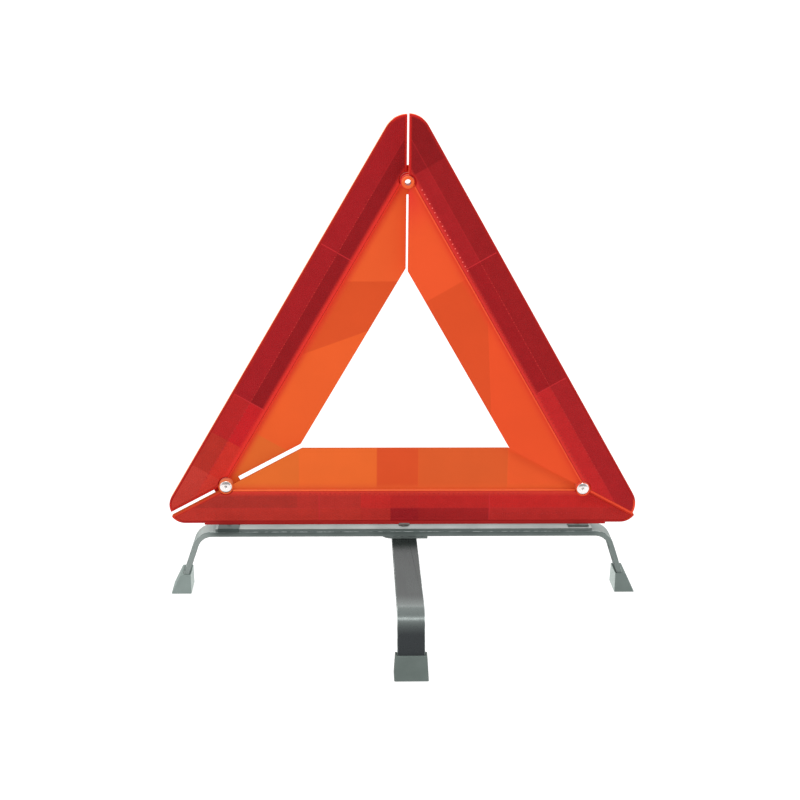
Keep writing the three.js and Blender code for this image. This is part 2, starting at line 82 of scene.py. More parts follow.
# ---------- hardware ----------
TURNED_SIDES = 48
RIVET_HEAD = 1.6             # thickness of a head
RIVET_SHAFT = 2.0            # radii
RIVET_BORE = 1.1
RIVET_DIMPLE = 1.6
RIVET_WELL = (0.5, 3.0)      # depths of the bore's mouth and end
RIVET_CROWN = 0.98           # share of the radius where the dome begins
RIVET_CROWN_STEPS = 9
RIVET_LIP = (0.4, 0.2)       # chamfer under a head
RIVET_SHARP = 40             # angle in degrees above which its edges are shaded sharp
SCREW_HEAD = 2.0
SCREW_TIP = 0.6              # chamfer of the tip
SCREW_NECK = 1.0             # plain shank under the head
SCREW_CROWN = ((0, 0.8), (0.3, 0.3), (0.9, 0))   # head's profile: in from its radius, height
SCREW_RECESS = (1.2, 1.0)    # border and depth
THREAD_PITCH = 0.8
THREAD_DEPTH = 0.25
SOLE_BORDER = 2.2
SOLE_RECESS = 0.9
SOLE_RIBS = 2                # to each side of the middle one
SOLE_RIB = (1.4, 22.0, 1.2)  # thickness, length, height
SOLE_RIB_PITCH = 3.0

# Widths of the rounded edges.
FRAME_BEVEL = 0.3
STRIP_BEVEL = 0.9
CHANNEL_BEVEL = 0.4
PLATE_BEVEL = 0.5
CLIP_BEVEL = 0.3
PIN_BEVEL = 0.3
WASHER_BEVEL = 0.2
STUD_BEVEL = 0.4
FOOT_BEVEL = 0.6

# Angle of each arm, width of its reflector band, height of the row split, places of the seams,
# and rows of beads as (height, from, to, bright); bright beads carry a painted glint.
ARMS = {
    "base": {
        "angle": 0, "red": 33.8, "split": 15.6, "seams": (-86, 86),
        "beads": ((31, -125, 125, False), (9.5, 90, 180, False)),
    },
    "left": {
        "angle": 240, "red": 39, "split": 20.5, "seams": (-80, 94),
        "beads": ((20.5, -150, 190, False),),
    },
    "right": {
        "angle": 120, "red": 39, "split": 20.5, "seams": (-70, 74),
        "beads": ((35, 72, 166, True), (35, -190, 70, False), (20.5, -180, 72, False)),
    },
}
BODY_OF_ARM = {"base": "stand", "left": "left_arm", "right": "right_arm"}

# Tones of the reflector from each place along the arm onwards: outer row, then inner row; their
# changes are painted reflections.
LENS_TONES_AND_REFLECTIONS = {
    "base": (
        (-250, (188, 52, 43), (172, 50, 42)),
        (-108, (188, 51, 42), (184, 50, 43)),
        (-44, (186, 47, 41), (197, 44, 40)),
        (-14, (158, 31, 36), (190, 42, 39)),
        (14, (165, 35, 36), (190, 40, 38)),
        (86, (184, 43, 40), (196, 40, 38)),
    ),
    "left": (
        (-250, (165, 31, 36), (147, 27, 31)),
        (94, (182, 38, 38), (196, 34, 38)),
        (140, (183, 50, 40), (203, 50, 40)),
        (180, (196, 60, 50), (205, 58, 46)),
    ),
    "right": (
        (-250, (168, 34, 37), (191, 39, 40)),
        (-70, (156, 30, 33), (159, 29, 33)),
        (74, (154, 30, 33), (168, 33, 37)),
        (178, (139, 26, 29), (144, 27, 31)),
    ),
}
# Tones of the bare web: the main one, then (from, to, slant, tone) of bands of painted reflection
# and shade across it.
WEB_TONES_AND_PAINTED_BANDS = {
    "base": ((231, 102, 42), (
        (-250, -106, 0, (222, 104, 42)),
        (-28, 14, 0, (217, 79, 38)),
        (14, 104, 0, (218, 90, 41)),
        (104, 250, 0, (230, 88, 41)),
    )),
    "left": ((230, 91, 42), (
        (-70, 250, 0.58, (216, 80, 36)),
        (3, 400, 1.2, (231, 93, 40)),
        (120, 250, 0, (221, 101, 41)),
    )),
    "right": ((229, 79, 38), (
        (-18, 400, 2, (217, 77, 36)),
        (65, 250, 0, (231, 84, 41)),
    )),
}
WEB_PAINTED_GLOW = 0.12              # partly the fluorescent plastic's own brightness, partly painted glow that lifts the web's own shade
WEB_TONE_T = 60              # height at which the slanting bands have their stated places
WEB_TOP = (120, 180)         # the right web turns redder between these places
WEB_TOP_TONE = (223, 50, 44)
RED_FADE = 9                 # the web is redder this near the reflector band
WEB_NEAR_RED = {"base": (222, 92, 44), "left": (224, 66, 40), "right": (226, 72, 40)}
OUTER_RIM_END = 2.4          # outer line to the end of the outer rim's tone
RIB_START = 0.5              # the rib's tone starts this short of the band's inner line
# Tones of the outer rim, the mitre rim and the rib beside the web.
RIM_TONES = {
    "base": ((172, 42, 40), (200, 58, 42), (240, 104, 60)),
    "left": ((178, 40, 36), (200, 40, 38), (222, 58, 42)),
    "right": ((172, 38, 37), (196, 40, 40), (238, 88, 56)),
}
RIM_CORNER = -90             # the right arm's mitre rim is paler up to this place
RIM_CORNER_TONE = (226, 74, 50)
SEAM_TONE = (194, 44, 48)
BORDER_FADE = (6.5, 1.2)     # the reflector turns to its border's tone this near the rib
LENS_BORDER = {"base": (204, 56, 44), "left": (216, 50, 41), "right": (206, 50, 44)}

# ---------- camera ----------
CAMERA_PLACE = (-0.0565, -1.4669, 0.6277)
CAMERA_PITCH = 0.2833        # angles in radians
CAMERA_YAW = 0.0349
CAMERA_ROLL = 0.0095
CAMERA_LENS = 69.3
CAMERA_SENSOR = 36
CAMERA_REACH = 200


# ---------- small helpers ----------
def linked(name, data):
    """New object in the scene, with a mesh, light or camera."""
    obj = bpy.data.objects.new(name, data)
    scene.collection.objects.link(obj)
    return obj


def piece_of(obj, body, node):
    """Makes the object the visible piece of one CAD node."""
    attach(obj, body)
    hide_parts(node)


def box_mm(node):
    """Opposite corners of the CAD node's box, in millimetres."""
    low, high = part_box(node)
    return low / MM, high / MM


def cad_bmesh(node):
    """The CAD node's mesh in millimetres, with flat regions joined into single faces."""
    bm = bmesh.new()
    bm.from_mesh(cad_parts[node].data)
    bmesh.ops.scale(bm, vec=(1 / MM,) * 3, verts=bm.verts)
    bmesh.ops.remove_doubles(bm, verts=bm.verts, dist=WELD)
    bmesh.ops.dissolve_degenerate(bm, edges=bm.edges, dist=THIN)
    angle = math.radians(JOIN_ANGLE)
    bmesh.ops.dissolve_limit(bm, angle_limit=angle, verts=bm.verts, edges=bm.edges)
    bm.normal_update()
    return bm


def to_mesh(bm, name):
    """Mesh in metres from one in millimetres, which is freed."""
    bmesh.ops.scale(bm, vec=(MM,) * 3, verts=bm.verts)
    mesh = bpy.data.meshes.new(name)
    bm.to_mesh(mesh)
    bm.free()
    return mesh


def solid(bm, name, *materials):
    """New object from a mesh in millimetres, with its materials."""
    obj = linked(name, to_mesh(bm, name))
    for material in materials:
        obj.data.materials.append(material)
    return obj


def smooth(obj, degrees=SHARP_ANGLE):
    mesh = obj.data
    mesh.polygons.foreach_set("use_smooth", [True] * len(mesh.polygons))
    mesh.set_sharp_from_angle(angle=math.radians(degrees))


def rounded(obj, width, segments=3, edge_slot=-1):
    """Rounds the sharp edges, with the material of the edge slot if one is given."""
    bevel = obj.modifiers.new("rounded edges", "BEVEL")
    bevel.width = width * MM
    bevel.segments = segments
    bevel.limit_method = "ANGLE"
    bevel.angle_limit = math.radians(ROUND_ANGLE)
    bevel.material = edge_slot
    bevel.harden_normals = True
    bevel.miter_outer = "MITER_ARC"


# ---------- material helpers ----------
class Finish:
    """A Principled material with short calls for the nodes that drive it."""

    def __init__(self, name, **values):
        self.material = bpy.data.materials.new(name)
        self.material.use_nodes = True
        self.nodes = self.material.node_tree.nodes
        self.links = self.material.node_tree.links
        self.shader = self.nodes["Principled BSDF"]
        for key, value in values.items():
            self.shader.inputs[key.replace("_", " ")].default_value = value
        coordinates = self.nodes.new("ShaderNodeTexCoord")
        self.place = coordinates.outputs["Object"]
        self.normal = coordinates.outputs["Normal"]

    def node(self, kind, **settings):
        node = self.nodes.new(kind)
        for key, value in settings.items():
            setattr(node, key, value)
        return node

    def feed(self, socket, value):
        if isinstance(value, bpy.types.NodeSocket):
            self.links.new(value, socket)
        else:
            socket.default_value = value

    def along(self, direction, offset=0.0):
        """Distance in millimetres along a direction, from a plane that far from the origin."""
        dot = self.node("ShaderNodeVectorMath", operation="DOT_PRODUCT")
        self.feed(dot.inputs[0], self.place)
        dot.inputs[1].default_value = [c / MM for c in direction]
        return self.math("SUBTRACT", dot.outputs["Value"], offset)

    def plane_of(self, arm):
        """Distances along the arm from its middle and inwards from its outer line."""
        s = self.along(arm.direction3(), arm.start)
        t = self.along(arm.inward3(), arm.outer)
        return s, t

    def facing(self, axis):
        """How far the surface faces along X, Y or Z, from -1 to 1."""
        split = self.node("ShaderNodeSeparateXYZ")
        self.feed(split.inputs[0], self.normal)
        return split.outputs[axis]

    def math(self, operation, a, b=0.0, clamp=False):
        node = self.node("ShaderNodeMath", operation=operation, use_clamp=clamp)
        self.feed(node.inputs[0], a)
        self.feed(node.inputs[1], b)
        return node.outputs[0]

    def step(self, value, low, high):
        """0 below low, 1 above high, smooth in between."""
        node = self.node("ShaderNodeMapRange", interpolation_type="SMOOTHSTEP")
        self.feed(node.inputs["Value"], value)
        node.inputs["From Min"].default_value = low
        node.inputs["From Max"].default_value = high
        return node.outputs["Result"]

    def below(self, value, low, high):
        """1 below low, 0 above high, smooth in between."""
        return self.math("SUBTRACT", 1.0, self.step(value, low, high))

    def after(self, value, edge, soft=0.4):
        """0 before the edge and 1 after it."""
        return self.step(value, edge - soft, edge + soft)

    def band(self, value, low, high, soft=0.4):
        """1 between low and high."""
        begun = self.after(value, low, soft)
        ended = self.after(value, high, soft)
        return self.math("SUBTRACT", begun, ended, clamp=True)

    def line(self, value, at, half, soft=0.3):
        """1 within half of the place."""
        return self.band(value, at - half, at + half, soft)

    def noise(self, scale, detail=3, stretch=(1, 1, 1)):
        mapping = self.node("ShaderNodeMapping")
        self.feed(mapping.inputs["Vector"], self.place)
        mapping.inputs["Scale"].default_value = stretch
        node = self.node("ShaderNodeTexNoise")
        self.feed(node.inputs["Vector"], mapping.outputs["Vector"])
        node.inputs["Scale"].default_value = scale
        node.inputs["Detail"].default_value = detail
        return node.outputs["Fac"]

    def mix(self, factor, a, b, kind="MIX"):
        node = self.node("ShaderNodeMix", data_type="RGBA", blend_type=kind)
        self.feed(node.inputs["Factor"], factor)
        self.feed(node.inputs[6], a)
        self.feed(node.inputs[7], b)
        return node.outputs[2]

    def bump(self, height, strength, distance):
        node = self.node("ShaderNodeBump")
        node.inputs["Strength"].default_value = strength
        node.inputs["Distance"].default_value = distance * MM
        self.feed(node.inputs["Height"], height)
        self.feed(self.shader.inputs["Normal"], node.outputs["Normal"])

    def colour(self, value, glow=0.0):
        """The base colour, of which the share named glow is emitted instead."""
        base = self.mix(glow, value, BLACK) if glow else value
        self.feed(self.shader.inputs["Base Color"], base)
        if glow:
            self.feed(self.shader.inputs["Emission Color"], value)
            self.shader.inputs["Emission Strength"].default_value = glow

    def roughness(self, factor, low, high):
        """Roughness from low to high as the factor goes from 0 to 1."""
        node = self.node("ShaderNodeMapRange")
        self.feed(node.inputs["Value"], factor)
        node.inputs["To Min"].default_value = low
        node.inputs["To Max"].default_value = high
        self.feed(self.shader.inputs["Roughness"], node.outputs["Result"])


def srgb(red, green, blue):
    """A display colour, 0 to 255 each, as a linear colour."""
    def linear(value):
        value /= 255
        return value / 12.92 if value <= 0.04045 else ((value + 0.055) / 1.055) ** 2.4
    return (linear(red), linear(green), linear(blue), 1.0)


# ---------- where the arms lie ----------
class Arm:
    """Directions and distances of one arm in its own plane; s runs along it, t inwards."""

    def __init__(self, name, values):
        self.name = name
        self.body = BODY_OF_ARM[name]
        self.red = values["red"]
        self.split = values["split"]
        self.seams = values["seams"]
        self.beads = values["beads"]
        angle = math.radians(values["angle"])
        self.direction = np.array([math.cos(angle), math.sin(angle)])
        self.inward = np.array([-math.sin(angle), math.cos(angle)])
        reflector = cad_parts[f"{name}_front_reflector"].data
        corners = np.array([v.co for v in reflector.vertices]) / MM
        self.outer = float((corners[:, [0, 2]] @ self.inward).min()) - LENS_INSET
        front_y = box_mm(f"{name}_front_reflector")[0].y
        rear_y = box_mm(f"{name}_rear_reflector")[1].y
        self.middle_y = (front_y + rear_y) / 2

    def local(self, points):
        """Distances s and t of points (x, z)."""
        points = np.asarray(points)
        return points @ self.direction - self.start, points @ self.inward - self.outer

    def world(self, s, t):
        """Points (x, z) from distances s and t."""
        return self.direction * (s + self.start) + self.inward * (t + self.outer)

    def direction3(self):
        return (self.direction[0], 0, self.direction[1])

    def inward3(self):
        return (self.inward[0], 0, self.inward[1])


arms = {name: Arm(name, values) for name, values in ARMS.items()}
# The distance s starts opposite the centre of the triangle that the outer lines make, which
# lies as far inside the base's outer line as inside the left arm's.
inradius = -(arms["base"].outer / 2 + arms["left"].outer) / 1.5
centre = np.array([0, arms["base"].outer + inradius])
for arm in arms.values():
    arm.start = float(centre @ arm.direction)


def pivot_point(node):
    low, high = box_mm(node)
    return np.array([(low.x + high.x) / 2, (low.z + high.z) / 2])


PIVOT_NODES = ("left_pivot_rivet", "right_pivot_rivet", "apex_snap_stud")
pivots = [pivot_point(node) for node in PIVOT_NODES]


# ---------- triangle materials ----------
def mottled(finish, colour, scale, amount):
    """The colour, darkened a little in a fine cloud."""
    cloud = finish.noise(scale, detail=3)
    share = 1 - amount
    dark = finish.mix(1.0, colour, (share, share, share, 1), "MULTIPLY")
    return finish.mix(finish.step(cloud, 0.3, 0.7), dark, colour)


def web_orange(arm):
    """Bare web: its main tone, bands of painted reflection and shade across it, and redder beside
    the reflector.
    """
    finish = Finish(f"{arm.name} web", Specular_IOR_Level=0.08)
    s, t = finish.plane_of(arm)
    main, bands = WEB_TONES_AND_PAINTED_BANDS[arm.name]
    colour = srgb(*main)
    for low, high, slant, tone in bands:
        place = s
        if slant:
            height = finish.math("SUBTRACT", t, WEB_TONE_T)
            place = finish.math("ADD", s, finish.math("MULTIPLY", height, slant))
        colour = finish.mix(finish.band(place, low, high, soft=0.9), colour, srgb(*tone))
    if arm.name == "right":
        colour = finish.mix(finish.step(s, *WEB_TOP), colour, srgb(*WEB_TOP_TONE))
    clear = finish.step(t, arm.red, arm.red + RED_FADE)
    colour = finish.mix(clear, srgb(*WEB_NEAR_RED[arm.name]), colour)
    fine = finish.noise(scale=900, detail=2)
    finish.colour(mottled(finish, colour, scale=26, amount=0.035), glow=WEB_PAINTED_GLOW)
    finish.roughness(fine, low=0.28, high=0.4)
    finish.bump(fine, strength=0.05, distance=0.05)
    return finish.material


def rim_red(arm):
    """Rim of an arm: outer rim, mitre rim, and the rib between reflector and web."""
    finish = Finish(f"{arm.name} rim", Specular_IOR_Level=0.0)
    s, t = finish.plane_of(arm)
    outer, mitre, rib = RIM_TONES[arm.name]
    mitre_tone = srgb(*mitre)
    if arm.name == "right":
        mitre_tone = finish.mix(finish.after(s, RIM_CORNER), srgb(*RIM_CORNER_TONE), mitre_tone)
    colour = finish.mix(finish.after(t, OUTER_RIM_END), srgb(*outer), mitre_tone)
    colour = finish.mix(finish.after(t, arm.red - RIB_START, soft=0.2), colour, srgb(*rib))
    grain = finish.noise(scale=600, detail=2)
    finish.colour(mottled(finish, colour, scale=90, amount=0.06))
    finish.roughness(grain, low=0.25, high=0.38)
    return finish.material


def plain(name, light, dark, glow=0.0, gloss=0.0, scale=1300, rough=(0.3, 0.45)):
    """Plastic of two near tones in a fine grain."""
    finish = Finish(name, Specular_IOR_Level=gloss)
    grain = finish.noise(scale=scale, detail=2)
    finish.colour(finish.mix(grain, srgb(*dark), srgb(*light)), glow=glow)
    finish.roughness(grain, *rough)
    return finish.material


def lens_red(arm):
    """Reflector: tones of the two rows along the arm with painted reflections, its border, and
    lines between fields.
    """
    finish = Finish(f"{arm.name} reflector", Specular_IOR_Level=0.08)
    s, t = finish.plane_of(arm)
    tones = LENS_TONES_AND_REFLECTIONS[arm.name]
    outer, inner = srgb(*tones[0][1]), srgb(*tones[0][2])
    for start, outer_tone, inner_tone in tones[1:]:
        mask = finish.after(s, start, soft=0.8)
        outer = finish.mix(mask, outer, srgb(*outer_tone))
        inner = finish.mix(mask, inner, srgb(*inner_tone))
    colour = finish.mix(finish.after(t, arm.split, soft=1.2), outer, inner)
    colour = mottled(finish, colour, scale=110, amount=0.07)
    colour = mottled(finish, colour, scale=900, amount=0.1)
    line = srgb(*SEAM_TONE)
    for seam in arm.seams:
        colour = finish.mix(finish.line(s, seam, SEAM_HALF), colour, line)
    faint = finish.math("MULTIPLY", finish.line(t, arm.split, SEAM_HALF), 0.3)
    colour = finish.mix(faint, colour, line)
    inner_border = finish.step(t, arm.red - BORDER_FADE[0], arm.red - BORDER_FADE[1])
    colour = finish.mix(inner_border, colour, srgb(*LENS_BORDER[arm.name]))
    finish.colour(colour)
    grain = finish.noise(scale=500, detail=2)
    finish.roughness(grain, low=0.16, high=0.3)
    return finish.material


# painted highlight: moulded edge walls in a paler tone with a faint glow
HIGHLIT_EDGE = plain("moulded edge", (240, 120, 78), (222, 92, 58), glow=0.05)
# painted glow: the side arms' outer edges shine as lit lines
OUTER_EDGE_GLOW = plain("outer edge", (255, 190, 140), (250, 160, 110), glow=0.5)
# painted shade: cut ends and inner edges of the web in a darker tone
SHADED_CUT = plain("cut edge", (196, 88, 44), (160, 62, 30))
SHADOW = plain("ledge underside", (158, 40, 38), (146, 34, 33))
# painted glint: the bright beads are a glowing, lit copy of the faint ones
GLINT_BEAD = plain("bright bead", (250, 120, 112), (240, 92, 86), glow=0.35)
FAINT_BEAD = plain("faint bead", (190, 56, 54), (180, 46, 46))
STUD = plain("stud orange", (236, 104, 48), (226, 84, 40), gloss=0.25)
# painted glow: lifts the shade in the gap beside the reflector
GLOWING_LENS_SIDE = plain("reflector side", (206, 48, 42), (190, 42, 38), glow=0.3)


# ---------- arm frames ----------
WEB_SLOT, RIM_SLOT, OUTER_EDGE_GLOW_SLOT, SHADED_CUT_SLOT, SHADOW_SLOT, HIGHLIT_EDGE_SLOT = range(6)   # as in arm_frame
BOSS_FACE = 7.8              # a boss's flat face and its wall lie within these of a pivot
BOSS_WALL = 9
RIM_HEIGHT = 3               # flat faces further than this from the middle plane top the rims
OUTER_FACING = 0.3           # least outward share of the normal on the arm's outer edge
ALONG_ARM = 0.95             # least share, either way, on walls that run along the arm
BAND_WALL = 1                # such walls are the rim's until this short of the band's inner line
INNER_EDGE = 10              # and the web's own from this far past it


def split_by_band(bm, arm):
    """Cuts the frame along the middle of its rib, so that each face lies on one side of it."""
    point = arm.world(0, arm.red + RIB_MIDDLE)
    bmesh.ops.bisect_plane(
        bm,
        geom=bm.verts[:] + bm.edges[:] + bm.faces[:],
        plane_co=(point[0], 0, point[1]),
        plane_no=arm.inward3(),
        dist=TINY,
    )


def frame_slot(arm, face):
    """Material slot of one face of an arm frame."""
    middle = face.calc_center_median()
    place = np.array([middle.x, middle.z])
    t = arm.local(place)[1]
    near_pivot = min(np.hypot(*(place - pivot)) for pivot in pivots)
    flat = abs(face.normal.y) > FLAT
    if flat and abs(middle.y - arm.middle_y) > RIM_HEIGHT:
        return WEB_SLOT if near_pivot < BOSS_FACE and arm.name != "left" else RIM_SLOT
    if flat:
        return RIM_SLOT if t < arm.red + RIB_MIDDLE else WEB_SLOT
    if near_pivot < BOSS_WALL:
        return WEB_SLOT
    outward = -(arm.inward[0] * face.normal.x + arm.inward[1] * face.normal.z)
    # outer edges: painted glow on the side arms, painted shadow on the base
    if outward > OUTER_FACING and t < RIM:
        return SHADOW_SLOT if arm.name == "base" else OUTER_EDGE_GLOW_SLOT
    if abs(outward) < ALONG_ARM:
        return SHADED_CUT_SLOT if arm.name == "base" or t > arm.red else HIGHLIT_EDGE_SLOT
    if t < arm.red - BAND_WALL:
        return RIM_SLOT
    return SHADED_CUT_SLOT if t > arm.red + INNER_EDGE else HIGHLIT_EDGE_SLOT


def arm_frame(arm):
    """Moulding of an arm, with a finish for each kind of face, painted glow, highlight and shade
    among them.
    """
    node = f"{arm.name}_arm_frame"
    bm = cad_bmesh(node)
    split_by_band(bm, arm)
    for face in bm.faces:
        face.material_index = frame_slot(arm, face)
    materials = (web_orange(arm), rim_red(arm), OUTER_EDGE_GLOW, SHADED_CUT, SHADOW, HIGHLIT_EDGE)
    obj = solid(bm, f"{arm.name}_arm_moulding", *materials)
    smooth(obj)
    rounded(obj, FRAME_BEVEL, segments=2)
    obj.visible_glossy = False
    piece_of(obj, arm.body, node)


# ---------- reflectors ----------
GLINT_BEAD_SLOT, FAINT_SLOT, SIDE_SLOT = 1, 2, 3   # after the lens's own material
CORNER_SHARE = 0.5           # keeps a sharp corner's move under twice that of its sides


def flat_outline(node, outward):
    """Outline, as points (x, z), of the CAD node's flat face on its front or rear side."""
    bm = cad_bmesh(node)
    facing = [face for face in bm.faces if face.normal.y * outward > FLAT]
    face = max(facing, key=lambda face: face.calc_area())
    points = np.array([(v.co.x, v.co.z) for v in face.verts])
    bm.free()
    x, z = points.T
    area = float(np.sum(x * np.roll(z, -1) - np.roll(x, -1) * z)) / 2
    return points if area > 0 else points[::-1]


def inset(points, distance):
    """Moves each side of a counter-clockwise outline inwards."""
    before = points - np.roll(points, 1, axis=0)
    after = np.roll(points, -1, axis=0) - points
    before /= np.linalg.norm(before, axis=1)[:, None]
    after /= np.linalg.norm(after, axis=1)[:, None]
    normal_before = np.stack([-before[:, 1], before[:, 0]], axis=1)
    normal_after = np.stack([-after[:, 1], after[:, 0]], axis=1)
    middle = normal_before + normal_after
    middle /= np.maximum(np.linalg.norm(middle, axis=1), TINY)[:, None]
    share = np.maximum(np.sum(middle * normal_after, axis=1), CORNER_SHARE)
    return points + middle * (distance / share)[:, None]


def dense(points, step):
    """The outline with further points along its longer edges."""
    parts = []
    for start, end in zip(points, np.roll(points, -1, axis=0)):
        count = max(1, int(np.linalg.norm(end - start) / step))
        parts.append(start + (end - start) * np.arange(count)[:, None] / count)
    return np.concatenate(parts)


def depth_inside(points, outline):
    """Distance of each point from the outline, negative outside it."""
    best = np.full(len(points), np.inf)
    inside = np.zeros(len(points), bool)
    for start, end in zip(outline, np.roll(outline, -1, axis=0)):
        edge = end - start
        share = np.clip(((points - start) @ edge) / (edge @ edge), 0, 1)
        away = points - start - share[:, None] * edge
        best = np.minimum(best, np.linalg.norm(away, axis=1))
        crosses = (start[1] > points[:, 1]) != (end[1] > points[:, 1])
        if edge[1]:
            x_cut = start[0] + (points[:, 1] - start[1]) * edge[0] / edge[1]
            inside ^= crosses & (points[:, 0] < x_cut)
    return np.where(inside, best, -best)


def prism_points(arm, outline):
    """Corners of the cube-corner relief: places in the plane and depth below the lens face."""
    spacing = PRISM_PITCH / math.sqrt(3)
    row_height = spacing * math.sqrt(3) / 2
    s_edge, t_edge = arm.local(outline)
    rows = int((t_edge.max() - t_edge.min()) / row_height) + 2
    columns = int((s_edge.max() - s_edge.min()) / spacing) + 2
    row, column = np.mgrid[0:rows, 0:columns]
    s = (s_edge.min() + (column + (row % 2) / 2) * spacing).ravel()
    t = (t_edge.min() + row * row_height).ravel()
    level = ((column - row // 2 + row * 2) % 3).ravel()
    points = arm.world(s[:, None], t[:, None])
    keep = depth_inside(points, outline) > PRISM_BORDER
    keep &= np.abs(t - arm.split) > SEAM_HALF
    for seam in arm.seams:
        keep &= np.abs(s - seam) > SEAM_HALF
    return points[keep], FIELD_SINK + PRISM_DEPTH * level[keep] / 2


def add_bead(bm, place, y, outward, slot):
    """Dome that stands on the lens face, closed by a flat underside just inside it."""
    turns = [2 * math.pi * step / BEAD_SIDES for step in range(BEAD_SIDES)]
    rings = []
    for ring in range(BEAD_RINGS):
        rise = math.pi / 2 * ring / BEAD_RINGS
        radius = BEAD_RADIUS * math.cos(rise)
        height = BEAD_RADIUS * math.sin(rise) * BEAD_FLATNESS
        if ring == 0:
            height = -BEAD_ROOT
        rings.append([
            bm.verts.new((
                place[0] + radius * math.cos(turn),
                y + outward * height,
                place[1] + radius * math.sin(turn),
            ))
            for turn in turns
        ])
    top = bm.verts.new((place[0], y + outward * BEAD_RADIUS * BEAD_FLATNESS, place[1]))
    faces = [bm.faces.new(rings[0])]
    for low, high in zip(rings, rings[1:]):
        for i in range(BEAD_SIDES):
            j = (i + 1) % BEAD_SIDES
            faces.append(bm.faces.new((low[i], low[j], high[j], high[i])))
    for i in range(BEAD_SIDES):
        faces.append(bm.faces.new((rings[-1][i], rings[-1][(i + 1) % BEAD_SIDES], top)))
    for face in faces:
        face.material_index = slot
        face.smooth = True


def add_beads(bm, arm, corners, y, outward):
    """The arm's rows of beads, where they lie clear of the border."""
    for height, start, end, bright in arm.beads:
        along = np.arange(start, end, BEAD_PITCH)
        spots = arm.world(along[:, None], height)
        for spot in spots[depth_inside(spots, corners) > PRISM_BORDER]:
            # bright rows take the painted glint
            add_bead(bm, spot, y, outward, GLINT_BEAD_SLOT if bright else FAINT_SLOT)


def add_lens_face(bm, arm, corners, outline, y, outward):
    """Lens face with its plain border and sunk prisms; gives back its corners."""
    top = inset(outline, LENS_CHAMFER)
    ring = inset(outline, PRISM_BORDER - FIELD_SLOPE)
    flat_count = len(top) + len(ring)
    points, depths = prism_points(arm, corners)
    flat_points = [Vector(p) for p in np.concatenate([top, ring, points])]
    result = delaunay_2d_cdt(flat_points, [], [list(range(len(top)))], 1, TINY)
    places, triangles, sources = result[0], result[2], result[3]
    verts = []
    for place, source in zip(places, sources):
        index = source[0] if source else 0
        depth = 0.0 if index < flat_count else depths[index - flat_count]
        verts.append(bm.verts.new((place.x, y - outward * depth, place.y)))
    for triangle in triangles:
        bm.faces.new([verts[i] for i in triangle])
    return verts


def add_lens_sides(bm, verts, outline, wall_y, back_y):
    """Chamfer, walls and flat back, from the first corners of the lens face."""
    upper = [bm.verts.new((x, wall_y, z)) for x, z in outline]
    lower = [bm.verts.new((x, back_y, z)) for x, z in outline]
    faces = []
    for i in range(len(outline)):
        j = (i + 1) % len(outline)
        faces.append(bm.faces.new((verts[i], verts[j], upper[j], upper[i])))
        faces.append(bm.faces.new((upper[i], upper[j], lower[j], lower[i])))
    faces.append(bm.faces.new(lower[::-1]))
    for face in faces:
        face.material_index = SIDE_SLOT


def lens(arm, side):
    """Reflector with a chamfered edge, a sunk field of cube-corner prisms and rows of beads."""
    node = f"{arm.name}_{side}_reflector"
    outward = -1 if side == "front" else 1
    corners = flat_outline(node, outward)
    outline = dense(corners, OUTLINE_STEP)
    low, high = box_mm(node)
    face_y, back_y = (low.y, high.y) if side == "front" else (high.y, low.y)
    bm = bmesh.new()
    verts = add_lens_face(bm, arm, corners, outline, face_y, outward)
    add_lens_sides(bm, verts, outline, face_y - outward * LENS_CHAMFER, back_y)
    add_beads(bm, arm, corners, face_y, outward)
    bmesh.ops.recalc_face_normals(bm, faces=bm.faces)
    materials = (lens_material[arm.name], GLINT_BEAD, FAINT_BEAD, GLOWING_LENS_SIDE)
    obj = solid(bm, f"{arm.name}_{side}_lens", *materials)
    obj.visible_glossy = False
    piece_of(obj, arm.body, node)


# ---------- metal and rubber ----------
# Places in millimetres from the middle of the strips, or above the floor.
LOWER_EDGE = (60.6, 64.5)    # painted light on the long strip's lower edge fades out between these heights
LONG_ENDS = (186, 204)       # painted light on its ends grows between these
CROSS_BENDS = (150, 186)     # painted light on the cross strip grows between these
CROSS_LEGS = (36, 50)        # painted shade on its legs fades out between these heights
UPRIGHT = (0.2, 0.6)         # upward share of the normal, from walls to tops
LIT_SIDE_FACING = (0.5, 0.8)     # sideways share of the normal on the side of a foot with painted light

# tones of painted light on the long strip
LOWER_EDGE_LIT_TONE = (138, 148, 145)
LEFT_END_LIT_TONE = (172, 183, 179)
RIGHT_END_LIT_TONE = (150, 162, 158)
# tone of painted shade on the channel's sides
CHANNEL_SHADED_SIDE_TONE = (122, 134, 131)
# tones of painted light on the cross strip's bends and painted shade on its legs
CROSS_BEND_LIT_TONE = (104, 112, 110)
CROSS_LEG_SHADED_TONE = (54, 58, 60)
# wear and painted highlight of the rounded steel edges
WORN_AND_HIGHLIT_TONES = ((122, 134, 131), (196, 206, 203))
NICKEL_TONES = ((214, 206, 204), (244, 238, 236))
# tone of painted light on a foot's lit side
FOOT_LIT_SIDE_TONE = (180, 190, 186)

ALONG_X = (0.05, 1, 1)       # stretch of the streaks
ALONG_Y = (1, 0.05, 1)
SHORT_X = (0.3, 1, 1)
EVEN = (1, 1, 1)


